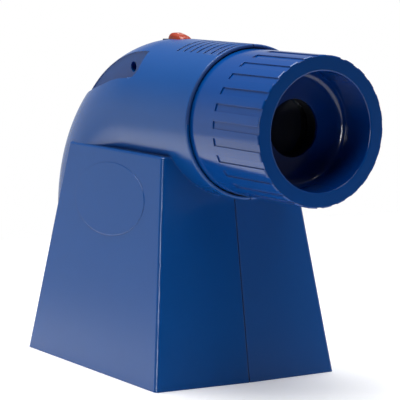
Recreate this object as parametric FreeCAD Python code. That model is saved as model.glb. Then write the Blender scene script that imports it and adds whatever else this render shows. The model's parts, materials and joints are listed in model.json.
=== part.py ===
import FreeCAD, Part
import math
import os

Vector = FreeCAD.Vector

# A small opaque projector: a leaning box stands on the picture to be copied, and a round hood
# turns the light through a right angle into a focusing barrel. Lengths are millimetres.
# X runs across the object, the barrel points to -Y, Z is up from the surface it stands on.
# The origin lies on that surface, under the middle of the overall length.

# Housing
base_width = 145.0
base_depth = 179.0
seam_bow = 2.8
ledge_height = 151.8
side_lean = 19.7
front_lean = 27.5
rear_lean = 23.6
corner_radius = 3.0
ledge_round = 2.0
wall = 2.2
hood_radius = 52.0
bend_radius = 73.7
axis_height = 175.7
hood_reach = 89.4
bend_reach = 3.85
hood_lip_round = 1.5
lip_round = 0.8
seam_width = 0.9
seam_depth = 0.8
overrun = 5.0

# Focusing barrel, at the place that the photograph shows
barrel_reach = 78.5
barrel_length = 128.7
sleeve_radius = 48.9
sleeve_wall = 2.4
grip_wall = 4.0
grip_length = 51.6
grip_grooves = 27
groove_depth = 0.8
groove_width_share = 0.45
cup_radius = 38.6
cup_depth = 30.9
cup_wall = 2.2
cup_round = 6.0
barrel_round = 1.2
aperture_radius = 19.0
focus_in = 22.0

# Felt rings that grip the barrel inside the hood
felt_clearance = 0.08
felt_width = 8.0
felt_set_back = 3.0
felt_gap = 8.0

# Lens and its cell
lens_radius = 22.9
lens_edge = 2.6
lens_sagitta = 4.6
lens_clearance = 0.1
cell_wall = 2.6
cell_front = 9.0
cell_length = 24.0
cell_collar = 6.0
lens_ring_width = 3.0
lens_ring_length = 2.4

# Mirror and the slots that hold it
mirror_set_back = 20.5
mirror_upper = 48.0
mirror_gap = 8.23806
mirror_top_half = 21.0
mirror_bottom_half = 42.0
mirror_thickness = 3.0
mirror_bite = 4.0
slot_rib = 2.0
slot_clearance = 0.2
slot_upper = 30.0
slot_lower = 50.0
cushion_thickness = 0.8
cushion_length = 14.0
cushion_width = 3.0

# Copy window frame under the base
window_size = 127.0
frame_thickness = 2.5
frame_height = 2.6
frame_clearance = 0.3
frame_curb = 3.0
frame_curb_width = 2.0

# Screws
screw_head_radius = 3.2
screw_head_height = 2.0
screw_radius = 1.5
screw_length = 11.0
screw_clearance = 0.3
pilot_radius = 1.3
boss_radius = 4.0
boss_height = 14.0
boss_web = 3.0
front_screw_x = 52.0
front_screw_inset = 19.0
rear_screw_x = 36.0
rear_screw_gap = 7.7

# Thumb scoops at the hood's rear shoulders, and the screw in the left one
scoop_floor = 28.0
scoop_low = 25.0
scoop_high = 43.4
scoop_rear_angle = 47.0
scoop_turn_angle = 20.0
scoop_mid_angle = 33.0
scoop_mid = 30.0
scoop_front = 10.5
scoop_front_radius = 6.0
hood_screw_back = 15.8538
hood_screw_drop = 20.3739
hood_screw_well = 3.7
hood_screw_boss = 5.6
hood_screw_floor = 2.5
hood_screw_seat = 2.5

# Cooling grooves over the hood and louvres behind the lamp
vent_count = 7
vent_pitch = 8.3
vent_width = 2.2
vent_depth = 1.3
vent_half_angle = 30.0
vent_first = 4.1
louvre_count = 6
louvre_pitch = 8.0
louvre_height = 3.0
louvre_half_width = 20.0
louvre_low = 42.0

# Raised oval on the left wall, left bare
badge_length = 94.0
badge_height = 50.0
badge_rise = 0.4
badge_round = 0.3
badge_back = 0.5
badge_level = 117.8

# Rocker switch
switch_back = 2.3
switch_drop = 0.9
bezel_length = 25.0
bezel_width = 15.6
bezel_thickness = 1.3
bezel_radius = 3.0
switch_clearance = 0.2
switch_body_length = 23.4
switch_body_width = 13.6
switch_body_depth = 13.0
switch_wall = 1.2
switch_corner = 1.5
seat_margin = 2.5
seat_thickness = 1.8
rocker_length = 18.5
rocker_width = 10.5
rocker_corner = 3.4
rocker_rise = 1.6
rocker_sagitta = 1.7
rocker_edge = 1.2
rocker_pivot_drop = 4.0
rocker_tail = 3.0
rocker_tilt = 12.0
rocker_pin_radius = 1.2
rocker_pin_clearance = 0.05
rocker_gap = 0.3
terminal_width = 4.8
terminal_thickness = 0.8
terminal_length = 8.0
terminal_spacing = 8.0

# Lamp, its socket, bracket and reflector
lamp_set_back = 24.0
bulb_radius = 22.0
bulb_drop = 41.0
bulb_neck_radius = 12.0
bulb_neck_drop = 4.0
bulb_shoulder_angle = 38.0
cap_radius = 12.9
cap_length = 21.0
cap_taper = 4.0
cap_tip_radius = 5.0
cap_tip = 2.5
socket_radius = 17.0
socket_gap = 0.4
socket_mouth_rise = 1.0
socket_length = 38.0
socket_flange = 3.4
socket_flange_height = 2.8
socket_nut_height = 3.5
socket_fit = 0.2
bracket_rise = 9.0
bracket_thickness = 1.2
bracket_front = 1.0
bracket_depth = 33.0
bracket_half = 46.0
bracket_screw_x = 41.0
bracket_screw_back = 13.0
baffle_up = 16.0
baffle_down = 14.0
bracket_clearance = 0.6
reflector_gap = 2.5
reflector_thickness = 0.8
reflector_lift = 25.0
reflector_drop = 5.0
reflector_flange = 12.0
reflector_screw_out = 7.5
reflector_screw_drop = 14.0

# Cord inlet and inner wiring
inlet_height = 17.0
inlet_radius = 5.0
inlet_bore = 3.2
inlet_flange_radius = 7.5
inlet_flange = 1.6
inlet_clearance = 0.1
block_length = 26.0
block_depth = 9.0
block_height = 8.0
block_back = 42.0
block_pitch = 8.0
block_screw_radius = 1.8
block_screw_height = 1.2
lead_radius = 1.2
lead_bend = 4.0
lead_side = 43.5
lead_back = 7.0
lead_hole_radius = 2.2
lead_rise = 12.0
lead_over = 10.0

mid_y = (hood_reach + barrel_reach - (bend_radius - bend_reach + hood_radius + inlet_flange)) / 2
hood_front_y = mid_y - hood_reach
bend_y = mid_y - bend_reach
bend_z = axis_height - bend_radius
column_y = bend_y + bend_radius
lamp_y = column_y + lamp_set_back
mirror_y = bend_y + mirror_set_back
mirror_lower = (bend_radius + bracket_front - mirror_set_back - mirror_gap) * math.sqrt(2) - mirror_thickness
crest = axis_height + hood_radius
bore = hood_radius - wall
barrel_front_y = hood_front_y - barrel_reach
barrel_rear_y = barrel_front_y + barrel_length
switch_y = mid_y + switch_back
frame_top = frame_height + frame_thickness
bulb_centre = bend_z - bulb_drop
bulb_neck_top = bend_z - bulb_neck_drop
socket_mouth = bend_z + socket_mouth_rise
socket_top = socket_mouth + socket_length
bracket_level = bend_z + bracket_rise
reflector_low = frame_top + reflector_lift
reflector_high = bracket_level - reflector_drop
reflector_screw_z = reflector_high - reflector_screw_drop
left = -1
right = 1

x_axis = Vector(1, 0, 0)
y_axis = Vector(0, 1, 0)
z_axis = Vector(0, 0, 1)


def box(x_low, x_high, y_low, y_high, z_low, z_high):
    return Part.makeBox(x_high - x_low, y_high - y_low, z_high - z_low, Vector(x_low, y_low, z_low))


def rod(radius, start, end):
    return Part.makeCylinder(radius, (end - start).Length, start, end - start)


def ring(outer, inner, start, end):
    return rod(outer, start, end).cut(rod(inner, start, end))


def joined(shapes):
    whole = shapes[0]
    for shape in shapes[1:]:
        whole = whole.fuse(shape)
    return whole


def outline(corners, place):
    """A closed wire of lines, with an arc at each corner that has a radius."""
    count = len(corners)
    starts, ends, arcs = [], [], []
    for index, (u, v, radius) in enumerate(corners):
        here = Vector(u, v, 0)
        before = Vector(*corners[index - 1][:2], 0) - here
        after = Vector(*corners[(index + 1) % count][:2], 0) - here
        before.normalize()
        after.normalize()
        half = before.getAngle(after) / 2
        bisector = before + after
        if radius:
            bisector.normalize()
            back = radius / math.tan(half)
            starts.append(here + before * back)
            ends.append(here + after * back)
            arcs.append(here + bisector * (radius / math.sin(half) - radius))
        else:
            starts.append(here)
            ends.append(here)
            arcs.append(None)
    edges = []
    for index in range(count):
        if arcs[index]:
            points = [place(p.x, p.y) for p in (starts[index], arcs[index], ends[index])]
            edges.append(Part.Arc(*points).toShape())
        following = (index + 1) % count
        if (starts[following] - ends[index]).Length > Part.Precision.confusion():
            run = [place(p.x, p.y) for p in (ends[index], starts[following])]
            edges.append(Part.LineSegment(*run).toShape())
    return Part.Wire(edges)


def turned_about_y(corners):
    """A solid turned about the barrel's axis from (radius, y, corner radius) corners."""
    face = Part.Face(outline(corners, lambda u, v: Vector(u, v, axis_height)))
    return face.revolve(Vector(0, 0, axis_height), y_axis, 360)


def turned_about_z(corners, centre_y):
    """A solid turned about an upright axis from (radius, z, corner radius) corners."""
    face = Part.Face(outline(corners, lambda u, v: Vector(u, centre_y, v)))
    return face.revolve(Vector(0, centre_y, 0), z_axis, 360)


def rectangle_corners(half_x, y_low, y_high, radius):
    corners = [(-half_x, y_low), (half_x, y_low), (half_x, y_high), (-half_x, y_high)]
    return [(x, y, radius) for x, y in corners]


def base_corners(inset, z):
    """The base's outline at one height: it leans in on all sides, and bows out to the seam."""
    share = z / ledge_height
    half = base_width / 2 - side_lean * share - inset
    front = mid_y - base_depth / 2 + front_lean * share + inset
    rear = mid_y + base_depth / 2 - rear_lean * share - inset
    return [
        (-half, front, corner_radius),
        (0, front - seam_bow, 0),
        (half, front, corner_radius),
        (half, rear, corner_radius),
        (0, rear + seam_bow, 0),
        (-half, rear, corner_radius),
    ]


def base_form(inset, low_z):
    top = ledge_height - inset
    wires = []
    for z in (low_z, top):
        wires.append(outline(base_corners(inset, z), lambda u, v, level=z: Vector(u, v, level)))
    solid = Part.makeLoft(wires, True, True)
    rim = [edge for edge in solid.Edges if all(abs(v.Z - top) < ledge_round for v in edge.Vertexes)]
    return solid.makeFillet(ledge_round, rim)


def tube_form(radius, front_y, low_z):
    """The hood: level behind the barrel, then a quarter bend, then upright down to the base."""
    level = Part.LineSegment(Vector(0, front_y, axis_height), Vector(0, bend_y, axis_height))
    turn = math.radians(45)
    middle = Vector(0, bend_y + bend_radius * math.sin(turn), bend_z + bend_radius * math.cos(turn))
    bend = Part.Arc(Vector(0, bend_y, axis_height), middle, Vector(0, column_y, bend_z))
    upright = Part.LineSegment(Vector(0, column_y, bend_z), Vector(0, column_y, low_z))
    path = Part.Wire([level.toShape(), bend.toShape(), upright.toShape()])
    section = Part.Wire(Part.makeCircle(radius, Vector(0, front_y, axis_height), y_axis))
    return path.makePipeShell([section], True, False)


def body_form(inset, front_y, low_z):
    return base_form(inset, low_z).fuse(tube_form(hood_radius - inset, front_y, low_z))


def bend_point(angle, radius):
    turn = math.radians(angle)
    return Vector(0, bend_y + radius * math.sin(turn), bend_z + radius * math.cos(turn))


def scoop_face():
    """The scoop seen from the side: it follows the bend, with a slanting front edge."""
    high = bend_radius + scoop_high
    low = bend_radius + scoop_low
    tip = bend_point(0, high)
    heel = bend_point(0, low)
    toe = Vector(0, tip.y - scoop_front, heel.z)
    slant = (tip - toe).normalize()
    back = (heel - toe).normalize()
    half = slant.getAngle(back) / 2
    reach = scoop_front_radius / math.tan(half)
    middle = toe + (slant + back).normalize() * (scoop_front_radius / math.sin(half) - scoop_front_radius)
    turn = bend_point(scoop_turn_angle, low)
    rear = bend_point(scoop_rear_angle, high)
    edges = [
        Part.LineSegment(tip, toe + slant * reach),
        Part.Arc(toe + slant * reach, middle, toe + back * reach),
        Part.LineSegment(toe + back * reach, heel),
        Part.Arc(heel, bend_point(scoop_turn_angle / 2, low), turn),
        Part.Arc(turn, bend_point(scoop_mid_angle, bend_radius + scoop_mid), rear),
        Part.Arc(rear, bend_point(scoop_rear_angle / 2, high), tip),
    ]
    return Part.Face(Part.Wire([edge.toShape() for edge in edges]))


def scoop(side, grow):
    face = scoop_face()
    if grow:
        face = face.makeOffset2D(grow)
    face.translate(Vector(side * (scoop_floor - grow), 0, 0))
    return face.extrude(Vector(side * (hood_radius + overrun), 0, 0))


def half_space(side):
    reach = base_width
    low, high = (-reach, 0) if side == left else (0, reach)
    return box(low, high, barrel_front_y - reach, column_y + reach, -reach, crest + reach)


def vent_grooves():
    cuts = []
    end_level = axis_height + hood_radius * math.cos(math.radians(vent_half_angle))
    for index in range(vent_count):
        y = hood_front_y + vent_first + index * vent_pitch - vent_width / 2
        start = Vector(0, y, axis_height)
        groove = ring(hood_radius + overrun, hood_radius - vent_depth, start, start + y_axis * vent_width)
        over = box(-hood_radius, hood_radius, y, y + vent_width, end_level, crest + overrun)
        cuts.append(groove.common(over))
    return cuts


def louvres():
    cuts = []
    inside = column_y + bore / 2
    outside = column_y + hood_radius + overrun
    for index in range(louvre_count):
        z = louvre_low + index * louvre_pitch
        cuts.append(box(-louvre_half_width, louvre_half_width, inside, outside, z, z + louvre_height))
    return cuts


def badge():
    """A low oval with a rounded rim, square to the leaning wall and rooted in it."""
    lean = math.degrees(math.atan(side_lean / ledge_height))
    face_x = -(base_width / 2 - side_lean * badge_level / ledge_height)
    ellipse = Part.Ellipse(Vector(0, 0, 0), badge_length / 2, badge_height / 2)
    face = Part.Face(Part.Wire(ellipse.toShape()))
    oval = face.extrude(Vector(0, 0, wall / 2 + badge_rise))
    rims = [edge for edge in oval.Edges if edge.Closed]
    oval = oval.makeFillet(badge_round, [max(rims, key=lambda edge: edge.CenterOfMass.z)])
    oval.translate(Vector(0, 0, -wall / 2))
    oval.rotate(Vector(0, 0, 0), z_axis, 90)
    oval.rotate(Vector(0, 0, 0), y_axis, -90 + lean)
    oval.translate(Vector(face_x, mid_y + badge_back, badge_level))
    return oval


def mirror_frame(shape):
    """Carry a shape from the mirror's own frame to its place: local Y down the slope, Z behind it."""
    shape.rotate(Vector(0, 0, 0), x_axis, -45)
    shape.translate(Vector(0, mirror_y, axis_height))
    return shape


def mirror_half_width(along):
    share = (along + mirror_upper) / (mirror_upper + mirror_lower)
    return mirror_top_half + (mirror_bottom_half - mirror_top_half) * share


def mirror_plate(along_low, along_high, inset, z_low, z_high):
    corners = [
        (-mirror_half_width(along_low) + inset, along_low, 0),
        (mirror_half_width(along_low) - inset, along_low, 0),
        (mirror_half_width(along_high) - inset, along_high, 0),
        (-mirror_half_width(along_high) + inset, along_high, 0),
    ]
    face = Part.Face(outline(corners, lambda u, v: Vector(u, v, z_low)))
    return face.extrude(Vector(0, 0, z_high - z_low))


def mirror_slots():
    ribs = []
    front = -slot_clearance - slot_rib
    back = mirror_thickness + cushion_thickness + slot_clearance
    for z_low in (front, back):
        slab = box(-base_width, base_width, -slot_upper, slot_lower, z_low, z_low + slot_rib)
        z_high = z_low + slot_rib
        opening = mirror_plate(-mirror_upper, mirror_lower, mirror_bite, z_low - overrun, z_high + overrun)
        ribs.append(mirror_frame(slab.cut(opening)))
    return ribs


def frame_screw_places():
    front = mid_y - base_depth / 2 + front_screw_inset
    rear = mirror_y + window_size / 2 + frame_curb_width + rear_screw_gap
    pairs = ((front_screw_x, front), (rear_screw_x, rear))
    return [(side * x, y) for x, y in pairs for side in (left, right)]


def on_side(x, side):
    return x * side > 0


def web(x, y, z_low, z_high, side):
    """A rib from a boss out to the wall."""
    ends = sorted((x, side * base_width))
    return box(ends[0], ends[1], y - boss_web / 2, y + boss_web / 2, z_low, z_high)


def frame_bosses(side):
    posts, holes = [], []
    for x, y in frame_screw_places():
        if on_side(x, side):
            foot = Vector(x, y, frame_top)
            posts.append(rod(boss_radius, foot, foot + z_axis * boss_height))
            posts.append(web(x, y, frame_top, frame_top + boss_height, side))
            holes.append(rod(pilot_radius, foot, foot + z_axis * screw_length))
    return posts, holes


def bracket_bosses(side):
    x = side * bracket_screw_x
    y = column_y + bracket_screw_back
    foot = Vector(x, y, bracket_level + bracket_thickness)
    post = rod(boss_radius, foot, foot + z_axis * boss_height)
    hole = rod(pilot_radius, foot, foot + z_axis * screw_length)
    return [post, web(x, y, foot.z, foot.z + boss_height, side)], [hole]


def reflector_screw_x():
    return bulb_radius + reflector_gap + reflector_screw_out


def reflector_bosses(side):
    start = Vector(side * reflector_screw_x(), lamp_y + reflector_thickness, reflector_screw_z)
    post = rod(boss_radius, start, start + y_axis * hood_radius)
    hole = rod(pilot_radius, start, start + y_axis * screw_length)
    return [post], [hole]


def hood_screw_point():
    return Vector(0, switch_y + hood_screw_back, crest - hood_screw_drop)


def hood_screw_parts(side):
    """The left half has a well with a seat for the screw's head, the right half the post."""
    point = hood_screw_point()
    inner = Vector(-hood_screw_floor + hood_screw_seat, point.y, point.z)
    if side == left:
        outer = Vector(-scoop_floor, point.y, point.z)
        seat = Vector(-hood_screw_floor, point.y, point.z)
        posts = [rod(hood_screw_boss, outer, inner)]
        holes = [rod(hood_screw_well, outer - x_axis * overrun, seat)]
        holes.append(rod(screw_radius + screw_clearance, seat, inner))
        return posts, holes
    outer = Vector(scoop_floor, point.y, point.z)
    posts = [rod(hood_screw_boss, inner, outer - x_axis * (wall / 2))]
    holes = [rod(pilot_radius, inner, inner + x_axis * screw_length)]
    return posts, holes


def sleeve_stop():
    """Rim sectors that stop the barrel before it meets the mirror."""
    start = Vector(0, barrel_rear_y + focus_in + slot_clearance, axis_height)
    stop = ring(hood_radius, sleeve_radius - sleeve_wall / 2, start, start + y_axis * slot_rib)
    level = axis_height + mirror_top_half / 2
    return stop.common(box(-hood_radius, hood_radius, start.y, start.y + slot_rib, ledge_height, level))


bezel_top = crest - switch_drop
bezel_floor = bezel_top - bezel_thickness


def rounded_block(length, width, radius, z_low, z_high):
    corners = rectangle_corners(width / 2, switch_y - length / 2, switch_y + length / 2, radius)
    face = Part.Face(outline(corners, lambda u, v: Vector(u, v, z_low)))
    return face.extrude(Vector(0, 0, z_high - z_low))


def switch_seat():
    length = bezel_length + 2 * seat_margin
    width = bezel_width + 2 * seat_margin
    return rounded_block(length, width, bezel_radius, bezel_floor - seat_thickness, crest)


def switch_hole():
    clear = 2 * switch_clearance
    above = crest + overrun
    below = bezel_floor - overrun
    recess = rounded_block(bezel_length + clear, bezel_width + clear, bezel_radius, bezel_floor, above)
    length = switch_body_length + clear
    width = switch_body_width + clear
    return recess.fuse(rounded_block(length, width, switch_corner, below, crest))


def make_shells():
    outer = body_form(0, hood_front_y, 0)
    lips = []
    for edge in outer.Edges:
        if all(abs(v.Y - hood_front_y) < seam_depth for v in edge.Vertexes):
            lips.append(edge)
    outer = outer.makeFillet(hood_lip_round, lips)
    inner = body_form(wall, hood_front_y - overrun, -overrun)
    middle = body_form(wall / 2, hood_front_y, 0)
    seam = body_form(seam_depth, hood_front_y + seam_depth, -overrun)
    seam_slab = box(
        -seam_width / 2, seam_width / 2, barrel_front_y, column_y + base_width, -overrun, crest + overrun
    ).cut(seam)
    for side in (left, right):
        inner = inner.cut(scoop(side, wall))
        outer = outer.cut(scoop(side, 0))
    skin = outer.cut(inner)
    inlet = Vector(0, column_y + bore, inlet_height)
    shells = {}
    for side, name in ((left, "left_shell"), (right, "right_shell")):
        space = half_space(side)
        posts, holes = [], []
        for make_posts in (frame_bosses, bracket_bosses, reflector_bosses, hood_screw_parts):
            more_posts, more_holes = make_posts(side)
            posts += more_posts
            holes += more_holes
        fittings = joined(posts[:-1] + mirror_slots() + [switch_seat(), sleeve_stop()])
        shell = skin.common(space)
        shell = shell.fuse(fittings.common(middle).common(space)).fuse(posts[-1])
        for cut in vent_grooves() + louvres() + holes + [switch_hole(), seam_slab]:
            shell = shell.cut(cut)
        reach = y_axis * overrun
        shell = shell.cut(rod(inlet_radius + inlet_clearance, inlet - reach, inlet + reach))
        if side == left:
            shell = shell.fuse(badge())
        shells[name] = shell.removeSplitter()
    return shells


def make_barrel():
    front = barrel_front_y
    rear = barrel_rear_y
    grip_end = front + grip_length + cup_wall
    back = front + cup_depth
    bore_radius = sleeve_radius - sleeve_wall
    grip_radius = sleeve_radius - grip_wall
    cup_outer = cup_radius + cup_wall
    collar = lens_radius + lens_clearance + cell_wall + lens_clearance
    corners = [
        (aperture_radius, back, 0),
        (cup_radius, back, cup_round),
        (cup_radius, front, barrel_round),
        (sleeve_radius, front, barrel_round),
        (sleeve_radius, rear, lip_round),
        (bore_radius, rear, 0),
        (bore_radius, grip_end, 0),
        (grip_radius, grip_end - cup_wall, 0),
        (grip_radius, front + cup_wall, barrel_round),
        (cup_outer, front + cup_wall, barrel_round),
        (cup_outer, back + cup_wall, cup_round + cup_wall),
        (collar + cup_wall, back + cup_wall, 0),
        (collar + cup_wall, back + cup_wall + cell_collar, 0),
        (collar, back + cup_wall + cell_collar, 0),
        (collar, back + cup_wall, 0),
        (aperture_radius, back + cup_wall, 0),
    ]
    barrel = turned_about_y(corners)
    pitch = 360 / grip_grooves
    half = sleeve_radius * math.sin(math.radians(pitch * groove_width_share / 2))
    floor = axis_height + sleeve_radius - groove_depth
    for index in range(grip_grooves):
        groove = box(-half, half, front - overrun, front + grip_length, floor, floor + overrun)
        groove.rotate(Vector(0, 0, axis_height), y_axis, (index + groove_width_share) * pitch)
        barrel = barrel.cut(groove)
    return barrel


def make_lens_parts():
    seat = barrel_front_y + cup_depth + cup_wall
    inner = lens_radius + lens_clearance
    cell = turned_about_y([
        (aperture_radius, seat, 0),
        (inner + cell_wall, seat, 0),
        (inner + cell_wall, seat + cell_length, 0),
        (inner, seat + cell_length, 0),
        (inner, seat + cell_front, 0),
        (aperture_radius, seat + cell_front, 0),
    ])
    flat = seat + cell_front
    bulge = flat + lens_edge + lens_sagitta
    rim = Vector(lens_radius, flat + lens_edge, axis_height)
    mid_radius = lens_radius / math.sqrt(2)
    curve_radius = (lens_radius ** 2 + lens_sagitta ** 2) / (2 * lens_sagitta)
    mid_drop = curve_radius - math.sqrt(curve_radius ** 2 - mid_radius ** 2)
    bow = Part.Arc(rim, Vector(mid_radius, bulge - mid_drop, axis_height), Vector(0, bulge, axis_height))
    edges = [
        Part.LineSegment(Vector(0, flat, axis_height), Vector(lens_radius, flat, axis_height)).toShape(),
        Part.LineSegment(Vector(lens_radius, flat, axis_height), rim).toShape(),
        bow.toShape(),
        Part.LineSegment(Vector(0, bulge, axis_height), Vector(0, flat, axis_height)).toShape(),
    ]
    lens = Part.Face(Part.Wire(edges)).revolve(Vector(0, 0, axis_height), y_axis, 360)
    start = Vector(0, flat + lens_edge, axis_height)
    keeper = ring(inner, inner - lens_ring_width, start, start + y_axis * lens_ring_length)
    keeper = keeper.cut(lens)
    return {"lens_cell": cell, "lens": lens, "lens_ring": keeper}


def make_felts():
    felts = {}
    start = Vector(0, hood_front_y + felt_set_back, axis_height)
    for name in ("front_felt", "rear_felt"):
        felts[name] = ring(bore, sleeve_radius + felt_clearance, start, start + y_axis * felt_width)
        start = start + y_axis * (felt_width + felt_gap)
    return felts


def make_mirror():
    glass = mirror_frame(mirror_plate(-mirror_upper, mirror_lower, 0, 0, mirror_thickness))
    cushions = []
    for side in (left, right):
        for along in (-slot_upper, slot_lower - cushion_length):
            inner = mirror_half_width(along) - mirror_bite
            ends = sorted((side * inner, side * (inner + cushion_width)))
            back = mirror_thickness + cushion_thickness
            pad = box(ends[0], ends[1], along, along + cushion_length, mirror_thickness, back)
            cushions.append(mirror_frame(pad))
    return {"mirror": glass, "mirror_cushions": Part.Compound(cushions)}


def make_copy_frame():
    corners = base_corners(wall + frame_clearance, frame_top)
    face = Part.Face(outline(corners, lambda u, v: Vector(u, v, frame_height)))
    plate = face.extrude(z_axis * frame_thickness)
    centre = Vector(0, column_y, frame_height)
    plate = plate.fuse(rod(bore - frame_clearance, centre, centre + z_axis * frame_thickness))
    half = window_size / 2
    curb_half = half + frame_curb_width
    curb_top = frame_top + frame_curb
    front = mirror_y - curb_half
    plate = plate.fuse(box(-curb_half, curb_half, front, front + 2 * curb_half, frame_top, curb_top))
    for x, y in frame_screw_places():
        foot = Vector(x, y, frame_height - overrun)
        plate = plate.cut(rod(screw_radius + screw_clearance, foot, foot + z_axis * (overrun + frame_top)))
    window = box(-half, half, mirror_y - half, mirror_y + half, -overrun, curb_top + overrun)
    return plate.cut(window).removeSplitter()


def screw(head_face, direction, length):
    """A pan head outside head_face, with its shank running on along direction."""
    head = rod(screw_head_radius, head_face - direction * screw_head_height, head_face)
    circles = [edge for edge in head.Edges if edge.Closed]
    crown = max(circles, key=lambda edge: (edge.CenterOfMass - head_face).Length)
    head = head.makeFillet(screw_head_height / 2, [crown])
    return head.fuse(rod(pilot_radius, head_face, head_face + direction * length))


def make_screws():
    frame_screws = []
    for x, y in frame_screw_places():
        frame_screws.append(screw(Vector(x, y, frame_height), z_axis, screw_length))
    bracket_screws = []
    reflector_screws = []
    for side in (left, right):
        foot = Vector(side * bracket_screw_x, column_y + bracket_screw_back, bracket_level)
        bracket_screws.append(screw(foot, z_axis, screw_length))
        face = Vector(side * reflector_screw_x(), lamp_y, reflector_screw_z)
        reflector_screws.append(screw(face, y_axis, screw_length))
    point = hood_screw_point()
    seat = Vector(-hood_screw_floor, point.y, point.z)
    return {
        "frame_screws": Part.Compound(frame_screws),
        "bracket_screws": Part.Compound(bracket_screws),
        "reflector_screws": Part.Compound(reflector_screws),
        "hood_screw": screw(seat, x_axis, screw_length),
    }


def make_lamp():
    turn = math.radians(bulb_shoulder_angle)
    crown = Vector(0, lamp_y, bulb_centre - bulb_radius)
    side = Vector(bulb_radius, lamp_y, bulb_centre)

    def on_bulb(angle):
        return Vector(bulb_radius * math.cos(angle), lamp_y, bulb_centre + bulb_radius * math.sin(angle))

    low = on_bulb(-math.pi / 4)
    shoulder_mid = on_bulb(turn / 2)
    shoulder = on_bulb(turn)
    neck = Vector(bulb_neck_radius, lamp_y, bulb_neck_top)
    tangent = Vector(-math.sin(turn), 0, math.cos(turn))
    flare = Part.BSplineCurve()
    flare.interpolate(Points=[shoulder, neck], InitialTangent=tangent, FinalTangent=z_axis)
    edges = [
        Part.Arc(crown, low, side).toShape(),
        Part.Arc(side, shoulder_mid, shoulder).toShape(),
        flare.toShape(),
        Part.LineSegment(neck, Vector(0, lamp_y, bulb_neck_top)).toShape(),
        Part.LineSegment(Vector(0, lamp_y, bulb_neck_top), crown).toShape(),
    ]
    glass = Part.Face(Part.Wire(edges)).revolve(Vector(0, lamp_y, 0), z_axis, 360)
    cap_end = bulb_neck_top + cap_length
    cap = turned_about_z([
        (0, bulb_neck_top, 0),
        (cap_radius, bulb_neck_top, lip_round),
        (cap_radius, cap_end, 0),
        (cap_tip_radius, cap_end + cap_taper, 0),
        (cap_tip_radius, cap_end + cap_taper + cap_tip, lip_round),
        (0, cap_end + cap_taper + cap_tip, 0),
    ], lamp_y)
    hollow = cap_radius + socket_gap
    ceiling = cap_end + cap_taper + cap_tip
    flange_low = bracket_level + bracket_thickness
    socket = turned_about_z([
        (hollow, socket_mouth, 0),
        (socket_radius, socket_mouth, lip_round),
        (socket_radius, flange_low, 0),
        (socket_radius + socket_flange, flange_low, 0),
        (socket_radius + socket_flange, flange_low + socket_flange_height, lip_round),
        (socket_radius, flange_low + socket_flange_height, 0),
        (socket_radius, socket_top, barrel_round),
        (0, socket_top, 0),
        (0, ceiling, 0),
        (hollow, ceiling, 0),
    ], lamp_y)
    nut_low = Vector(0, lamp_y, bracket_level - socket_nut_height)
    nut = ring(socket_radius + socket_flange, socket_radius, nut_low, nut_low + z_axis * socket_nut_height)
    return {"lamp_bulb": glass, "lamp_cap": cap, "lamp_socket": socket, "socket_nut": nut}


def make_bracket():
    """One folded sheet: a shelf that holds the socket, and a front flange that shades the lens."""
    low = bracket_level
    high = bracket_level + bracket_thickness
    front = column_y + bracket_front
    shelf = box(-bracket_half, bracket_half, front, front + bracket_depth, low, high)
    back = front + bracket_thickness
    shade = box(-bracket_half, bracket_half, front, back, low - baffle_down, high + baffle_up)
    sheet = shelf.fuse(shade).common(body_form(wall + bracket_clearance, hood_front_y, 0))
    centre = Vector(0, lamp_y, low - overrun)
    sheet = sheet.cut(rod(socket_radius + socket_fit, centre, centre + z_axis * (2 * overrun)))
    for side in (left, right):
        foot = Vector(side * bracket_screw_x, column_y + bracket_screw_back, low - overrun)
        sheet = sheet.cut(rod(pilot_radius + screw_clearance, foot, foot + z_axis * (2 * overrun)))
        way = lead_way(side)
        sheet = sheet.cut(rod(lead_hole_radius, way - z_axis * overrun, way + z_axis * overrun))
    return sheet.removeSplitter()


def make_reflector():
    inner = bulb_radius + reflector_gap
    outer = inner + reflector_thickness
    low = Vector(0, lamp_y, reflector_low)
    high = Vector(0, lamp_y, reflector_high)
    trough = ring(outer, inner, low, high)
    trough = trough.cut(box(-outer, outer, lamp_y - outer, lamp_y, reflector_low, reflector_high))
    for side in (left, right):
        ends = sorted((side * inner, side * (outer + reflector_flange)))
        flange = box(ends[0], ends[1], lamp_y, lamp_y + reflector_thickness, reflector_low, reflector_high)
        trough = trough.fuse(flange)
        place = Vector(side * reflector_screw_x(), lamp_y - overrun, reflector_screw_z)
        trough = trough.cut(rod(pilot_radius + screw_clearance, place, place + y_axis * (2 * overrun)))
    return trough.removeSplitter()


rocker_pivot = Vector(0, switch_y, crest - rocker_pivot_drop)


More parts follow.
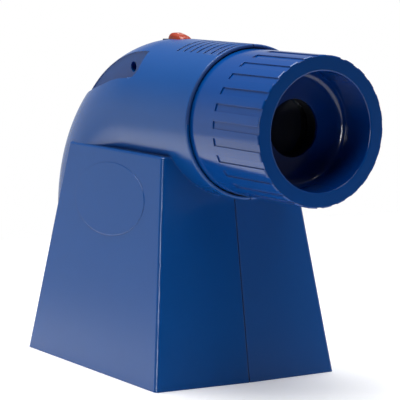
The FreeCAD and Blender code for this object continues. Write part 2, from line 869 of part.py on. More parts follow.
def make_switch():
    reach = rocker_length / 2
    end_radius = math.hypot(reach, rocker_pivot_drop)
    profile_end = switch_y + reach
    ends_level = crest + rocker_rise
    centre = Vector(0, switch_y, ends_level + rocker_sagitta)
    arc_start = Vector(0, switch_y - reach, ends_level)
    arc_end = Vector(0, profile_end, ends_level)
    tail = rocker_pivot.z - rocker_tail
    side_edges = [
        Part.Arc(arc_start, centre, arc_end).toShape(),
        Part.LineSegment(arc_end, Vector(0, profile_end, tail)).toShape(),
        Part.LineSegment(Vector(0, profile_end, tail), Vector(0, switch_y - reach, tail)).toShape(),
        Part.LineSegment(Vector(0, switch_y - reach, tail), arc_start).toShape(),
    ]
    face = Part.Face(Part.Wire(side_edges))
    face.translate(Vector(-rocker_width / 2, 0, 0))
    rocker = face.extrude(Vector(rocker_width, 0, 0))
    plan = rounded_block(rocker_length, rocker_width, rocker_corner, tail, crest + hood_radius)
    rocker = rocker.common(plan)
    top = [edge for edge in rocker.Edges if min(v.Z for v in edge.Vertexes) > crest + rocker_rise / 2]
    rocker = rocker.makeFillet(rocker_edge, top)
    side_step = x_axis * (rocker_width / 2)
    swing = rod(end_radius, rocker_pivot - side_step, rocker_pivot + side_step)
    below = box(-rocker_width, rocker_width, switch_y - 2 * reach, switch_y + 2 * reach, tail, crest)
    rocker = rocker.cut(below.cut(swing))
    inner_half = switch_body_width / 2 - switch_wall
    pin_step = x_axis * (inner_half + switch_wall / 2)
    rocker = rocker.fuse(rod(rocker_pin_radius, rocker_pivot - pin_step, rocker_pivot + pin_step))
    rocker.rotate(rocker_pivot, x_axis, rocker_tilt)

    bezel = rounded_block(bezel_length, bezel_width, bezel_radius, bezel_floor, bezel_top)
    body_low = bezel_floor - switch_body_depth
    body = rounded_block(switch_body_length, switch_body_width, switch_corner, body_low, bezel_floor)
    cavity_half = end_radius + rocker_gap
    front = switch_y - cavity_half
    rear = switch_y + cavity_half
    cavity = box(-inner_half, inner_half, front, rear, body_low + switch_wall, bezel_floor)
    mouth_width = rocker_width + 2 * rocker_gap
    mouth = rounded_block(2 * cavity_half, mouth_width, rocker_corner, bezel_floor, crest)
    housing = bezel.fuse(body).cut(cavity).cut(mouth)
    pin_hole = rocker_pin_radius + rocker_pin_clearance
    hole_step = pin_step + x_axis * rocker_pin_clearance
    housing = housing.cut(rod(pin_hole, rocker_pivot - hole_step, rocker_pivot + hole_step))

    blades = []
    for end in (-1, 1):
        y = switch_y + terminal_spacing / 2 + end * terminal_spacing / 2
        half_t = terminal_thickness / 2
        half_w = terminal_width / 2
        blades.append(box(-half_w, half_w, y - half_t, y + half_t, body_low - terminal_length, body_low))
    return {
        "switch_body": housing,
        "switch_rocker": rocker,
        "switch_terminals": Part.Compound(blades),
    }


def block_holes():
    """Places of the terminal block's screws, left to right."""
    y = column_y + block_back
    return [Vector(index * block_pitch, y, frame_top + block_height) for index in (-1, 0, 1)]


def make_terminal_block():
    y = column_y + block_back
    half = block_length / 2
    block = box(-half, half, y - block_depth / 2, y + block_depth / 2, frame_top, frame_top + block_height)
    screws = []
    for hole in block_holes():
        sunk = hole - z_axis * block_screw_height
        block = block.cut(rod(block_screw_radius + slot_clearance, sunk, hole + z_axis * overrun))
        screws.append(rod(block_screw_radius, sunk, hole))
        entry = Vector(hole.x, y - block_depth / 2, frame_top + block_height / 2)
        inside = entry + y_axis * (block_depth / 3)
        block = block.cut(rod(lead_radius + slot_clearance, entry - y_axis * overrun, inside))
    return {"terminal_block": block, "terminal_screws": Part.Compound(screws)}


def lead(points):
    """A wire laid along straight runs with a round bend at each point between them."""
    edges = []
    start = points[0]
    for index in range(1, len(points) - 1):
        corner = points[index]
        before = (points[index - 1] - corner).normalize()
        after = (points[index + 1] - corner).normalize()
        half = before.getAngle(after) / 2
        back = lead_bend / math.tan(half)
        middle = corner + (before + after).normalize() * (lead_bend / math.sin(half) - lead_bend)
        first = corner + before * back
        last = corner + after * back
        edges.append(Part.LineSegment(start, first).toShape())
        edges.append(Part.Arc(first, middle, last).toShape())
        start = last
    edges.append(Part.LineSegment(start, points[-1]).toShape())
    section = Part.Wire(Part.makeCircle(lead_radius, points[0], points[1] - points[0]))
    return Part.Wire(edges).makePipeShell([section], True, False)


def lead_way(side):
    """The holes in the bracket's shelf that the wires rise through."""
    return Vector(side * lead_side, column_y + lead_back, bracket_level)


def lead_rising(side, hole):
    """From a terminal of the block, round the reflector and up beside the lamp."""
    front = column_y + block_back - block_depth / 2
    entry = frame_top + block_height / 2
    way = lead_way(side)
    return [
        Vector(hole.x, front, entry),
        Vector(hole.x, front - lead_rise, entry),
        Vector(way.x, way.y, entry + lead_rise),
        Vector(way.x, way.y, bracket_level + bracket_thickness + boss_height),
    ]


def make_leads():
    holes = block_holes()
    blade_low = bezel_floor - switch_body_depth - terminal_length
    rear_blade = Vector(0, switch_y + terminal_spacing, blade_low)
    front_blade = Vector(0, switch_y, blade_low)
    socket_x = socket_radius / 2
    behind_mirror = column_y - lead_rise
    over_socket = socket_top + lead_over
    drop = z_axis * (lead_bend * 1.5)
    live = lead_rising(right, holes[2]) + [
        Vector(lead_side / 2, behind_mirror, axis_height - lead_bend),
        rear_blade - drop * 2,
        rear_blade,
    ]
    neutral = lead_rising(left, holes[0]) + [
        Vector(-socket_x - lead_side / 2, lamp_y - lead_over, over_socket),
        Vector(-socket_x, lamp_y, over_socket + lead_bend),
        Vector(-socket_x, lamp_y, socket_top),
    ]
    switched = [
        front_blade,
        front_blade - drop,
        Vector(-lead_rise, mirror_y + mirror_thickness * 2, axis_height + lead_over),
        Vector(-lead_radius, column_y, axis_height - lead_over),
        Vector(socket_x, lamp_y, over_socket + lead_bend),
        Vector(socket_x, lamp_y, socket_top),
    ]
    return {"live_lead": lead(live), "neutral_lead": lead(neutral), "switched_lead": lead(switched)}


def make_grommet():
    inner_seat = Vector(0, column_y + math.sqrt(bore ** 2 - inlet_flange_radius ** 2), inlet_height)
    wall_face = Vector(0, column_y + hood_radius, inlet_height)
    outer = wall_face + y_axis * inlet_flange
    inner = inner_seat - y_axis * inlet_flange
    bush = rod(inlet_radius, inner, outer)
    bush = bush.fuse(rod(inlet_flange_radius, wall_face, outer))
    bush = bush.fuse(rod(inlet_flange_radius, inner, inner_seat))
    return bush.cut(rod(inlet_bore, inner - y_axis * overrun, outer + y_axis * overrun))


nodes = make_shells()
nodes["focus_barrel"] = make_barrel()
nodes.update(make_lens_parts())
nodes.update(make_felts())
nodes.update(make_mirror())
nodes["copy_frame"] = make_copy_frame()
nodes.update(make_screws())
nodes.update(make_lamp())
nodes["socket_bracket"] = make_bracket()
nodes["reflector"] = make_reflector()
nodes.update(make_switch())
nodes.update(make_terminal_block())
nodes.update(make_leads())
nodes["cord_grommet"] = make_grommet()

os.makedirs("parts", exist_ok=True)
for name, shape in nodes.items():
    if not shape.isValid() or not shape.Solids:
        print(name, "is not a sound solid")
    print(f"{name}: {len(shape.Solids)} solid(s), {shape.Volume:.0f} cubic mm")
    shape.exportStep(f"parts/{name}.step")
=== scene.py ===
import json
import math

import bmesh
import bpy
from mathutils import Matrix, Vector


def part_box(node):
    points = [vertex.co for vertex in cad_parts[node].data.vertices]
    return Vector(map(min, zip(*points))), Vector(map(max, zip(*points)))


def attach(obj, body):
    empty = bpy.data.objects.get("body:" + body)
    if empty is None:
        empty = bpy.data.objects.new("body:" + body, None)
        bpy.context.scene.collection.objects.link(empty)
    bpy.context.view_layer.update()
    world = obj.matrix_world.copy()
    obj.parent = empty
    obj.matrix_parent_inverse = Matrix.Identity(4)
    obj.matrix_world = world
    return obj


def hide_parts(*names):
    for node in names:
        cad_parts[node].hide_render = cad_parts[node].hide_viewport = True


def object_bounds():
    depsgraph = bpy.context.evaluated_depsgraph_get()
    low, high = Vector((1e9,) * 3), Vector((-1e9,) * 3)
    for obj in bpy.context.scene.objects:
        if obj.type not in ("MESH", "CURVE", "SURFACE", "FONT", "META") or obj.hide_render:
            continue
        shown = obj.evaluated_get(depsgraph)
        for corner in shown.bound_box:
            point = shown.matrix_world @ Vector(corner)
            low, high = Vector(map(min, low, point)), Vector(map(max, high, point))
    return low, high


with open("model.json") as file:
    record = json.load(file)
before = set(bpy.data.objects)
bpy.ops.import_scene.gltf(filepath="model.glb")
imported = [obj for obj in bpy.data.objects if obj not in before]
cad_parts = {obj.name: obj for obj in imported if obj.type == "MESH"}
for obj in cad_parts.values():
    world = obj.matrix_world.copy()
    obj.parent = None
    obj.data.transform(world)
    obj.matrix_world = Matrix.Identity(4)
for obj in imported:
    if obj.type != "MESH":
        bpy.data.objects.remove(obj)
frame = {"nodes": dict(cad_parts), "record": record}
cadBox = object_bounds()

mm = 0.001
collection = bpy.context.scene.collection

# detail of each kind of noise, and the share of roughness in all of them
noiseDetail = {"patches": 3.0, "smears": 4.0, "grain": 2.0}
noiseRoughness = 0.55
edgeSamples = 6          # rays that find a near edge
plasticIndex = 1.5


# a shader socket that can stand in a sum
class Wire:
    def __init__(self, finish, socket):
        self.finish = finish
        self.socket = socket

    def maths(self, operation, first, second=None):
        values = {0: first} if second is None else {0: first, 1: second}
        return self.finish.node("ShaderNodeMath", {"operation": operation}, values)

    def __add__(self, other):
        return self.maths("ADD", self, other)

    __radd__ = __add__

    def __sub__(self, other):
        return self.maths("SUBTRACT", self, other)

    def __rsub__(self, other):
        return self.maths("SUBTRACT", other, self)

    def __mul__(self, other):
        return self.maths("MULTIPLY", self, other)

    __rmul__ = __mul__

    def __abs__(self):
        return self.maths("ABSOLUTE", self)

    def root(self):
        return self.maths("SQRT", self)

    def under(self, limit):
        return self.maths("LESS_THAN", self, limit)

    def over(self, limit):
        return self.maths("GREATER_THAN", self, limit)


# the nodes of one material, or of the world, added by the calls below
class Finish:
    def __init__(self, owner, place="Object"):
        self.owner = owner
        owner.use_nodes = True
        self.tree = owner.node_tree
        self.tree.nodes.clear()
        self.place = self.node("ShaderNodeTexCoord", output=place)

    def node(self, kind, settings=None, inputs=None, output=0):
        made = self.tree.nodes.new(kind)
        for key, value in (settings or {}).items():
            setattr(made, key, value)
        for key, value in (inputs or {}).items():
            if isinstance(value, Wire):
                self.tree.links.new(value.socket, made.inputs[key])
            else:
                made.inputs[key].default_value = value
        return Wire(self, made.outputs[output])

    # noise of one kind and of one size in metres, from 0 to 1
    def noise(self, kind, size):
        return self.node("ShaderNodeTexNoise", {}, {
            "Vector": self.place, "Scale": 1 / size, "Detail": noiseDetail[kind], "Roughness": noiseRoughness,
        })

    # a wire that runs from low to high as the value runs from one end to the other
    def spread(self, value, low, high, ends=(0, 1)):
        values = {"Value": value, "From Min": ends[0], "From Max": ends[1], "To Min": low, "To Max": high}
        return self.node("ShaderNodeMapRange", {}, values)

    def blend(self, share, first, second):
        values = {0: share, 6: first, 7: second}
        return self.node("ShaderNodeMix", {"data_type": "RGBA"}, values, output=2)

    def axis(self, name):
        return self.node("ShaderNodeSeparateXYZ", {}, {"Vector": self.place}, output=name)

    # the surface's direction with a grain on it
    def grain(self, look, normal=None):
        height = self.noise("grain", look["grain"])
        values = {"Height": height, "Strength": look["grainStrength"], "Distance": look["grainDepth"]}
        if normal:
            values["Normal"] = normal
        return self.node("ShaderNodeBump", {}, values)

    # the surface's direction, softened over its edges
    def softEdges(self, radius):
        return self.node("ShaderNodeBevel", {"samples": edgeSamples}, {"Radius": radius})

    def end(self, surface, kind="ShaderNodeOutputMaterial"):
        out = self.tree.nodes.new(kind)
        self.tree.links.new(surface.socket, out.inputs["Surface"])
        return self.owner


def newFinish(name):
    return Finish(bpy.data.materials.new(name))


def newObject(name, data):
    made = bpy.data.objects.new(name, data)
    collection.objects.link(made)
    return made


# an object from a form, which is used up
def newForm(name, form):
    mesh = bpy.data.meshes.new(name)
    form.to_mesh(mesh)
    form.free()
    return newObject(name, mesh)


# the turn from straight up to a direction
def turnTo(way):
    return Vector((0, 0, 1)).rotation_difference(way).to_matrix().to_4x4()


# sizes in metres
plastics = {
    "housing": {
        "blue": (0.001, 0.074, 0.30, 1), "deepBlue": (0.001, 0.066, 0.275, 1), "patch": 0.06,
        "roughness": (0.2, 0.28), "smear": 0.035,
        "grain": 0.0011, "grainDepth": 0.00004, "grainStrength": 0.5, "softEdge": 0.0005,
        # the seam's colour is painted shade in the gap where the halves meet
        "seamHalfWidth": 0.00045, "seamShade": (0.001, 0.008, 0.05, 1),
        "hoodRadius": 0.052, "grooveStart": 0.00015,
        # the grooves' colour is painted shade in the deep, narrow cooling grooves
        "grooveShade": (0.0008, 0.05, 0.22, 1), "grooveRoughness": 0.8,
    },
    "barrel": {
        "blue": (0.001, 0.062, 0.28, 1), "deepBlue": (0.001, 0.056, 0.26, 1), "patch": 0.05,
        "roughness": (0.1, 0.15), "smear": 0.03,
        "grain": 0.0012, "grainDepth": 0.000004, "grainStrength": 0.4, "softEdge": 0.00025,
        # the cup's blue is painted shade in the recess
        "cupRadius": 0.0389, "cupRoughness": 0.16, "cupShadeBlue": (0.0005, 0.035, 0.21, 1),
    },
}
barrelLow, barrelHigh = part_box("focus_barrel")
barrelAxisHeight = (barrelLow[2] + barrelHigh[2]) / 2
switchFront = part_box("switch_body")[0][1]


# how far a point lies from the barrel's axis
def fromBarrelAxis(finish):
    across = finish.axis("X")
    above = finish.axis("Z") - barrelAxisHeight
    return (across * across + above * above).root()


# satin moulded plastic, with a painted shade line where the halves meet and painted shade in the rougher
# cooling grooves before the switch
def housingPlastic():
    look = plastics["housing"]
    finish = newFinish("housing plastic")
    colour = finish.blend(finish.noise("patches", look["patch"]), look["deepBlue"], look["blue"])
    # painted shade along the seam between the halves
    seam = abs(finish.axis("X")).under(look["seamHalfWidth"])
    colour = finish.blend(seam, colour, look["seamShade"])
    # painted shade in the cooling grooves on top, before the switch
    sunk = fromBarrelAxis(finish).under(look["hoodRadius"] - look["grooveStart"])
    onTop = finish.axis("Z").over(barrelAxisHeight) * finish.axis("Y").under(switchFront)
    inGroove = sunk * onTop
    gloss = finish.spread(finish.noise("smears", look["smear"]), *look["roughness"])
    return finish.end(finish.node("ShaderNodeBsdfPrincipled", {}, {
        "Base Color": finish.blend(inGroove, colour, look["grooveShade"]),
        "Roughness": gloss + inGroove * (look["grooveRoughness"] - gloss),
        "IOR": plasticIndex,
        "Normal": finish.grain(look, finish.softEdges(look["softEdge"])),
    }))


# polished plastic with a faint flow in its gloss, with painted shade and a little more roughness inside the
# cup
def barrelPlastic():
    look = plastics["barrel"]
    finish = newFinish("barrel plastic")
    colour = finish.blend(finish.noise("patches", look["patch"]), look["deepBlue"], look["blue"])
    # painted shade inside the cup
    inCup = fromBarrelAxis(finish).under(look["cupRadius"])
    gloss = finish.spread(finish.noise("smears", look["smear"]), *look["roughness"])
    return finish.end(finish.node("ShaderNodeBsdfPrincipled", {}, {
        "Base Color": finish.blend(inCup, colour, look["cupShadeBlue"]),
        "Roughness": gloss + inCup * (look["cupRoughness"] - gloss),
        "IOR": plasticIndex,
        "Normal": finish.grain(look, finish.softEdges(look["softEdge"])),
    }))


# plain finishes, each from two colours, a range of roughness and a grain, with sizes in metres
simpleFinishes = {
    "black plastic": {
        "colours": ((0.012, 0.012, 0.013, 1), (0.02, 0.02, 0.022, 1)), "patch": 0.02,
        "roughness": (0.45, 0.6), "grain": 0.0006, "grainDepth": 0.00002,
    },
    "felt": {
        "colours": ((0.012, 0.012, 0.014, 1), (0.045, 0.045, 0.05, 1)), "patch": 0.0008,
        "roughness": (0.9, 1.0), "grain": 0.0006, "grainDepth": 0.0003, "sheen": 0.4,
    },
    "foam": {
        "colours": ((0.02, 0.02, 0.02, 1), (0.06, 0.06, 0.06, 1)), "patch": 0.001,
        "roughness": (0.85, 1.0), "grain": 0.0009, "grainDepth": 0.0004,
    },
    "porcelain": {
        "colours": ((0.74, 0.72, 0.66, 1), (0.82, 0.8, 0.75, 1)), "patch": 0.02,
        "roughness": (0.08, 0.16), "grain": 0.004, "grainDepth": 0.00005, "coat": 0.5,
    },
    "live insulation": {
        "colours": ((0.16, 0.05, 0.02, 1), (0.2, 0.07, 0.03, 1)), "patch": 0.01,
        "roughness": (0.35, 0.5), "grain": 0.002, "grainDepth": 0.00003,
    },
    "neutral insulation": {
        "colours": ((0.02, 0.08, 0.32, 1), (0.03, 0.1, 0.38, 1)), "patch": 0.01,
        "roughness": (0.35, 0.5), "grain": 0.002, "grainDepth": 0.00003,
    },
    "zinc steel": {
        "colours": ((0.5, 0.52, 0.55, 1), (0.66, 0.66, 0.64, 1)), "patch": 0.006, "metallic": 1.0,
        "roughness": (0.28, 0.45), "grain": 0.0007, "grainDepth": 0.00002,
    },
    "bright sheet": {
        "colours": ((0.82, 0.83, 0.85, 1), (0.9, 0.9, 0.9, 1)), "patch": 0.03, "metallic": 1.0,
        "roughness": (0.12, 0.24), "grain": 0.003, "grainDepth": 0.00003,
    },
    "cap brass": {
        "colours": ((0.72, 0.6, 0.38, 1), (0.8, 0.7, 0.5, 1)), "patch": 0.006, "metallic": 1.0,
        "roughness": (0.22, 0.36), "grain": 0.001, "grainDepth": 0.00002,
    },
    "front mirror": {
        "colours": ((0.9, 0.91, 0.92, 1), (0.94, 0.94, 0.95, 1)), "patch": 0.05, "metallic": 1.0,
        "roughness": (0.02, 0.05), "grain": 0.01, "grainDepth": 0.000002,
    },
}
simpleGrainStrength = 0.6


# the smears in a finish's gloss are half as wide as the patches of its colour
def simpleFinish(name):
    look = {"grainStrength": simpleGrainStrength, **simpleFinishes[name]}
    finish = newFinish(name)
    smears = finish.noise("smears", look["patch"] / 2)
    return finish.end(finish.node("ShaderNodeBsdfPrincipled", {}, {
        "Base Color": finish.blend(finish.noise("patches", look["patch"]), *look["colours"]),
        "Roughness": finish.spread(smears, *look["roughness"]),
        "Metallic": look.get("metallic", 0.0),
        "Coat Weight": look.get("coat", 0.0),
        "Sheen Weight": look.get("sheen", 0.0),
        "Normal": finish.grain(look),
    }))


glasses = {
    # the lens glass's grey tint is painted shade; the bulb glass's faint tint is its own
    "lens glass": {"tintAndShade": (0.5, 0.55, 0.62, 1), "roughness": (0.0, 0.06), "dust": 0.02, "index": 1.2},
    "bulb glass": {"tintAndShade": (0.98, 0.98, 0.96, 1), "roughness": (0.02, 0.08), "dust": 0.01, "index": 1.5},
}


# clear glass; the lens is coated, so it reflects little, and its grey tint is painted shade that keeps the
# hole behind it dark
def glass(name):
    look = glasses[name]
    finish = newFinish(name)
    return finish.end(finish.node("ShaderNodeBsdfPrincipled", {}, {
        "Base Color": look["tintAndShade"],
        "Roughness": finish.spread(finish.noise("smears", look["dust"]), *look["roughness"]),
        "IOR": look["index"],
        "Transmission Weight": 1.0,
    }))


# lengths in mm, from the rocker's pivot as it lies level; low powers make the outlines squarer
rocker = {
    "length": 19.0, "width": 10.9, "crown": 7.08, "tail": 3.0, "segments": 64, "rings": 40,
    "planPower": 0.36, "sidePower": 0.62, "poleReach": 1e-9, "sharpAngle": 40,
    "ringBack": 0.8, "ringRadius": 1.9, "lineWidth": 0.9,
    "reds": ((0.33, 0.036, 0.012, 1), (0.38, 0.046, 0.015, 1)), "markColour": (0.68, 0.30, 0.23, 1),
    "patch": 0.01, "roughness": (0.22, 0.3),
    "grain": 0.0015, "grainDepth": 0.000006, "grainStrength": 0.6,
}
rockerJoint = next(j for j in frame["record"]["behaviour"]["joints"] if j["name"] == "rocker_pivot")
rockerPivot = Vector(rockerJoint["pos_m"])
rockerTilt = math.radians(rockerJoint["range_deg"][1] / 2)


# polished red plastic with a filled ring near its crown
def rockerPlastic():
    finish = newFinish("rocker red")
    across = finish.axis("X")
    back = finish.axis("Y") - rockerPivot.y
    above = finish.axis("Z") - rockerPivot.z
    along = back * math.cos(rockerTilt) + above * math.sin(rockerTilt)
    halfLine = rocker["lineWidth"] * mm / 2
    fromRing = along - rocker["ringBack"] * mm
    ring = abs((across * across + fromRing * fromRing).root() - rocker["ringRadius"] * mm).under(halfLine)
    colour = finish.blend(finish.noise("patches", rocker["patch"]), *rocker["reds"])
    smears = finish.noise("smears", rocker["patch"] / 2)
    return finish.end(finish.node("ShaderNodeBsdfPrincipled", {}, {
        "Base Color": finish.blend(ring, colour, rocker["markColour"]),
        "Roughness": finish.spread(smears, *rocker["roughness"]),
        "Normal": finish.grain(rocker),
    }))


finishes = {name: simpleFinish(name) for name in simpleFinishes}
finishes["rocker red"] = rockerPlastic()
finishes.update({name: glass(name) for name in glasses})
finishes["housing plastic"] = housingPlastic()
finishes["barrel plastic"] = barrelPlastic()
print("materials made:", len(finishes))


# the finish of each slot in the record
slotFinishes = {
    "housing_blue": "housing plastic", "barrel_blue": "barrel plastic", "rocker_red": "rocker red",
    "black_plastic": "black plastic", "felt": "felt", "foam": "foam", "lens_glass": "lens glass",
    "bulb_glass": "bulb glass", "front_mirror": "front mirror", "zinc_steel": "zinc steel",
    "bright_sheet": "bright sheet", "cap_brass": "cap brass", "porcelain": "porcelain",
    "live_insulation": "live insulation", "neutral_insulation": "neutral insulation",
}
slotOfNode = {part["node"]: part["material_slot"] for part in frame["record"]["subparts"]}


def setFinish(piece, name):
    piece.data.materials.clear()
    piece.data.materials.append(finishes[name])


def bodyOf(node):
    return next(body for body, members in frame["record"]["behaviour"]["bodies"].items() if node in members)


plainAngle = 30          # degrees past which an edge looks sharp
mergeDistance = 0.001 * mm
areaWeight = 80          # how far the larger face leads where two faces meet


# a finished form becomes a piece that rides with its body
# the normals that a copy brings from its node don't fit once its corners are merged, so they go
def makePiece(form, name, body, slot, sharpAngle=plainAngle):
    piece = newForm(name, form)
    mesh = piece.data
    if mesh.has_custom_normals:
        mesh.attributes.remove(mesh.attributes["custom_normal"])
    mesh.shade_smooth()
    mesh.set_sharp_from_angle(angle=math.radians(sharpAngle))
    setFinish(piece, slotFinishes[slot])
    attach(piece, body)
    return piece


# a merged copy of a node's mesh
def merged(node):
    form = bmesh.new()
    form.from_mesh(frame["nodes"][node].data)
    bmesh.ops.remove_doubles(form, verts=form.verts, dist=mergeDistance)
    return form


# the merged copy, shaded smooth up to an angle, stands for the node
def dressed(node, sharpAngle):
    piece = makePiece(merged(node), node + "_dressed", bodyOf(node), slotOfNode[node], sharpAngle)
    weighted = piece.modifiers.new("even", "WEIGHTED_NORMAL")
    weighted.keep_sharp = True
    weighted.weight = areaWeight
    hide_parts(node)


for node, piece in frame["nodes"].items():
    setFinish(piece, slotFinishes[slotOfNode[node]])

# nodes with round forms, each with the angle in degrees past which an edge of it looks sharp
smoothNodes = {
    "left_shell": 28, "right_shell": 28, "focus_barrel": 28, "switch_body": 35,
    "lens": 30, "lens_cell": 30, "lens_ring": 30, "front_felt": 30, "rear_felt": 30,
    "lamp_cap": 30, "lamp_socket": 30, "reflector": 30, "cord_grommet": 30, "copy_frame": 30,
    "live_lead": 40, "neutral_lead": 40, "switched_lead": 40, "socket_nut": 30,
}
for node, sharpAngle in smoothNodes.items():
    dressed(node, sharpAngle)
print("smooth pieces made:", len(smoothNodes))


# the rocker: a sphere drawn out into a long pad with a domed top and a flatter tail below
def makeRocker():
    form = bmesh.new()
    bmesh.ops.create_uvsphere(form, u_segments=rocker["segments"], v_segments=rocker["rings"], radius=1)
    for vert in form.verts:
        ring = max(math.hypot(vert.co.x, vert.co.y), rocker["poleReach"])
        reach = ring ** rocker["sidePower"]
        x, y = (math.copysign(abs(value / ring) ** rocker["planPower"], value) for value in vert.co.xy)
        level = math.copysign(abs(vert.co.z) ** rocker["sidePower"], vert.co.z)
        height = rocker["crown"] if level > 0 else rocker["tail"]
        vert.co = (x * reach * rocker["width"] / 2, y * reach * rocker["length"] / 2, level * height)
    place = Matrix.Translation(rockerPivot) @ Matrix.Rotation(rockerTilt, 4, "X") @ Matrix.Scale(mm, 4)
    bmesh.ops.transform(form, matrix=place, verts=form.verts)
    piece = makePiece(form, "rocker_cap", "rocker", "rocker_red", rocker["sharpAngle"])
    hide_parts("switch_rocker")


makeRocker()
print("rocker made")


# the recesses in the screws' heads, in mm: the bars that are cut out of a head, and how deep
recesses = {
    "cross": {"bars": ((3.4, 0.75), (0.75, 3.4)), "depth": 1.3},
    "slot": {"bars": ((5.0, 0.75),), "depth": 0.6},
}
# the recess of each group of screws, and which way its heads face
screwHeads = {
    "hood_screw": ("cross", (-1, 0, 0)), "frame_screws": ("cross", (0, 0, -1)),
    "bracket_screws": ("cross", (0, 0, -1)), "reflector_screws": ("cross", (0, -1, 0)),
    "terminal_screws": ("slot", (0, 0, 1)),
}


# the separate solids in a form, each as its list of vertices, in an order that is the same in each run
def islands(form):
    waiting = dict.fromkeys(form.verts)
    found = []
    while waiting:
        group = [next(iter(waiting))]
        del waiting[group[0]]
        for vert in group:
            for edge in vert.link_edges:
                near = edge.other_vert(vert)
                if near in waiting:
                    del waiting[near]
                    group.append(near)
        found.append(group)
    return found


# each bar reaches as far above a head's face as it cuts below it
def addRecess(form, recess, face, outward):
    place = Matrix.Translation(face) @ turnTo(outward)
    for wide, narrow in recess["bars"]:
        size = Matrix.Diagonal((wide * mm, narrow * mm, 2 * recess["depth"] * mm, 1))
        bmesh.ops.create_cube(form, size=1, matrix=place @ size)


def makeScrews(node, kind, outward):
    form = merged(node)
    cutter = bmesh.new()
    for group in islands(form):
        middle = sum((vert.co for vert in group), Vector()) / len(group)
        top = max(vert.co.dot(outward) for vert in group)
        face = middle + outward * (top - middle.dot(outward))
        addRecess(cutter, recesses[kind], face, outward)
    screws = makePiece(form, node + "_recessed", bodyOf(node), slotOfNode[node])
    cutterObject = newForm("cutter", cutter)
    carve = screws.modifiers.new("carve", "BOOLEAN")
    carve.operation = "DIFFERENCE"
    carve.solver = "EXACT"
    carve.use_self = True
    carve.object = cutterObject
    shown = screws.evaluated_get(bpy.context.evaluated_depsgraph_get())
    carved = bpy.data.meshes.new_from_object(shown)
    screws.modifiers.clear()
    screws.data = carved
    bpy.data.objects.remove(cutterObject)
    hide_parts(node)


for node, (kind, outward) in screwHeads.items():
    makeScrews(node, kind, Vector(outward))
print("screws made:", len(screwHeads))


# the lamp: a hollow bulb with a glass stem, two support wires and a coiled filament, in mm
lamp = {
    "glassWall": 0.6, "glassAngle": 35,
    "stemGap": 0.1, "stemLow": 24.0, "stemRadii": (5.5, 2.2), "stemSides": 24,
    "wireRadius": 0.3, "wireSpread": 9.0, "wireLow": 36.0, "wireInStem": 1.0,
    "wireSides": 12, "wireAngle": 40,
    "coilRadius": 0.9, "coilWire": 0.16, "coilSides": 6, "turns": 26, "stepsInTurn": 10,
}


def rodBetween(form, start, end, startRadius, endRadius, segments):
    way = Vector(end) - Vector(start)
    place = Matrix.Translation((Vector(start) + Vector(end)) / 2) @ turnTo(way)
    bmesh.ops.create_cone(form, cap_ends=True, segments=segments, radius1=startRadius, radius2=endRadius,
                          depth=way.length, matrix=place)


def makeLamp():
    low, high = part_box("lamp_bulb")
    centre = [(low[i] + high[i]) / 2 for i in (0, 1)]
    place = Matrix.Translation((*centre, high[2])) @ Matrix.Scale(mm, 4)
    bulb = makePiece(merged("lamp_bulb"), "bulb_glass", "housing", "bulb_glass", lamp["glassAngle"])
    wall = bulb.modifiers.new("wall", "SOLIDIFY")
    wall.thickness = lamp["glassWall"] * mm
    wall.offset = -1
    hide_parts("lamp_bulb")

    stem = bmesh.new()
    top = -lamp["glassWall"] - lamp["stemGap"]
    rodBetween(stem, (0, 0, top), (0, 0, -lamp["stemLow"]), *lamp["stemRadii"], lamp["stemSides"])
    bmesh.ops.transform(stem, matrix=place, verts=stem.verts)
    makePiece(stem, "bulb_stem", "housing", "bulb_glass")

    wires = bmesh.new()
    radius = lamp["wireRadius"]
    ends = []
    for side in (-1, 1):
        start = (side * radius * 2, 0, lamp["wireInStem"] - lamp["stemLow"])
        end = (side * lamp["wireSpread"], 0, -lamp["wireLow"])
        rodBetween(wires, start, end, radius, radius, lamp["wireSides"])
        ends.append(end)
    span = ends[1][0] - ends[0][0]
    ringPlace = Matrix.Translation((ends[0][0], lamp["coilRadius"], ends[0][2]))
    ring = bmesh.ops.create_circle(wires, cap_ends=False, segments=lamp["coilSides"],
                                   radius=lamp["coilWire"], matrix=ringPlace)["verts"]
    ringEdges = list(dict.fromkeys(edge for vert in ring for edge in vert.link_edges))
    steps = lamp["turns"] * lamp["stepsInTurn"]
    bmesh.ops.spin(wires, geom=ring + ringEdges, cent=(ends[0][0], 0, ends[0][2]), axis=(1, 0, 0),
                   dvec=(span / steps, 0, 0), angle=2 * math.pi * lamp["turns"], steps=steps,
                   use_duplicate=False)
    bmesh.ops.recalc_face_normals(wires, faces=wires.faces)
    bmesh.ops.transform(wires, matrix=place, verts=wires.verts)
    makePiece(wires, "bulb_filament", "housing", "zinc_steel", lamp["wireAngle"])


makeLamp()
print("lamp made")


# a white studio: a bright backdrop behind the object, darkness behind the camera, and a bright floor
stage = {
    "floorFront": 0.42, "floorBack": 0.6, "floorSide": 0.9, "floorDrop": 0.0002,
    "floorColour": (0.93, 0.93, 0.94, 1), "floorRoughness": 0.6, "floorGlow": 0.2,
    "skyShown": (1.0, 1.0, 1.0, 1), "darkness": (0.012, 0.013, 0.016, 1),
    "backdropLow": (0.66, 0.68, 0.72, 1), "backdropHigh": (0.22, 0.23, 0.26, 1), "backdropRise": (0.02, 0.42),
    "backdropWay": (0.541, 0.841, 0.0), "backdropEnds": (-0.47, 0.35),
}
# the strip lights nothing diffusely: it only shows as a reflection
softboxes = {
    "overhead": {
        "place": (-0.1, 0.05, 1.55), "aim": (0, 0, 0), "width": 1.4, "height": 1.4,
        "watts": 40.0, "diffuse": True,
    },
    "front left strip": {
        "place": (-1.09, -0.70, 0.30), "aim": (0, 0, 0.12), "width": 0.12, "height": 0.5,
        "watts": 5.0, "diffuse": False,
    },
}


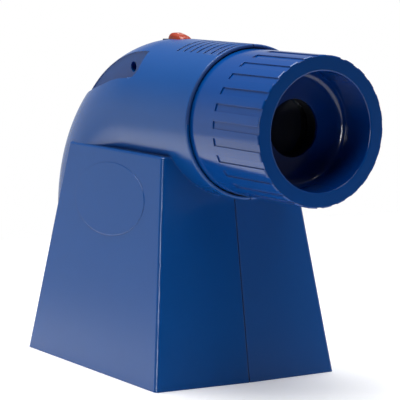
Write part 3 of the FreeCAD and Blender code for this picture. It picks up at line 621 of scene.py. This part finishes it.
def makeFloor():
    form = bmesh.new()
    bmesh.ops.create_grid(form, x_segments=1, y_segments=1, size=1.0)
    halfDepth = (stage["floorFront"] + stage["floorBack"]) / 2
    bmesh.ops.scale(form, vec=(stage["floorSide"], halfDepth, 1), verts=form.verts)
    middle = (0, stage["floorBack"] - halfDepth, cadBox[0][2] - stage["floorDrop"])
    bmesh.ops.translate(form, vec=middle, verts=form.verts)
    floor = newForm("floor", form)
    finish = newFinish("floor")
    shade = finish.node("ShaderNodeBsdfPrincipled", {}, {
        "Base Color": stage["floorColour"],
        "Roughness": stage["floorRoughness"],
        "Emission Color": stage["floorColour"],
        "Emission Strength": stage["floorGlow"],
    })
    floor.data.materials.append(finish.end(shade))


def makeWorld():
    world = bpy.data.worlds.new("studio")
    bpy.context.scene.world = world
    sky = Finish(world, "Generated")
    toBackdrop = sky.node("ShaderNodeVectorMath", {"operation": "DOT_PRODUCT"},
                          {0: sky.place, 1: stage["backdropWay"]}, output="Value")
    rise = sky.spread(sky.axis("Z"), 0, 1, stage["backdropRise"])
    backdrop = sky.blend(rise, stage["backdropLow"], stage["backdropHigh"])
    tone = sky.blend(sky.spread(toBackdrop, 0, 1, stage["backdropEnds"]), stage["darkness"], backdrop)
    light = sky.node("ShaderNodeBackground", {}, {"Color": tone})
    shown = sky.node("ShaderNodeBackground", {}, {"Color": stage["skyShown"]})
    seen = sky.node("ShaderNodeLightPath", output="Is Camera Ray")
    sky.end(sky.node("ShaderNodeMixShader", {}, {0: seen, 1: light, 2: shown}), "ShaderNodeOutputWorld")


def makeLights():
    for name, softbox in softboxes.items():
        light = bpy.data.lights.new(name, "AREA")
        light.shape = "RECTANGLE"
        light.size = softbox["width"]
        light.size_y = softbox["height"]
        light.energy = softbox["watts"]
        place = Vector(softbox["place"])
        stand = newObject(name, light)
        stand.location = place
        stand.rotation_euler = (Vector(softbox["aim"]) - place).to_track_quat("-Z", "Y").to_euler()
        stand.visible_camera = False
        stand.visible_diffuse = softbox["diffuse"]


# the photograph's view, fitted to its corners: lengths in mm, angles in degrees, focal length in pixels
shot = {
    "azimuth": 32.75, "elevation": 7.01, "roll": 0.90, "focal": 1997.85, "imageSize": 400,
    "target": (17.25, 22.225, 112.8), "distance": 1419.16, "sensor": 36.0, "near": 50.0, "far": 20000.0,
}


def makeCamera():
    turn, rise, roll = (math.radians(shot[key]) for key in ("azimuth", "elevation", "roll"))
    ahead = Vector((math.sin(turn) * math.cos(rise), math.cos(turn) * math.cos(rise), -math.sin(rise)))
    right = Vector((math.cos(turn), -math.sin(turn), 0))
    up = right.cross(ahead)
    tiltedRight = math.cos(roll) * right + math.sin(roll) * up
    tiltedUp = math.cos(roll) * up - math.sin(roll) * right
    eye = Vector(shot["target"]) * mm - ahead * shot["distance"] * mm
    lens = bpy.data.cameras.new("camera")
    lens.sensor_width = shot["sensor"]
    lens.lens = shot["focal"] * shot["sensor"] / shot["imageSize"]
    lens.clip_start = shot["near"] * mm
    lens.clip_end = shot["far"] * mm
    camera = newObject("camera", lens)
    turned = Matrix((tiltedRight, tiltedUp, -ahead)).transposed().to_4x4()
    camera.matrix_world = Matrix.Translation(eye) @ turned
    bpy.context.scene.camera = camera


makeFloor()
makeWorld()
makeLights()
makeCamera()
bpy.context.scene.view_settings.view_transform = "Standard"
print("stage, lights and camera made")
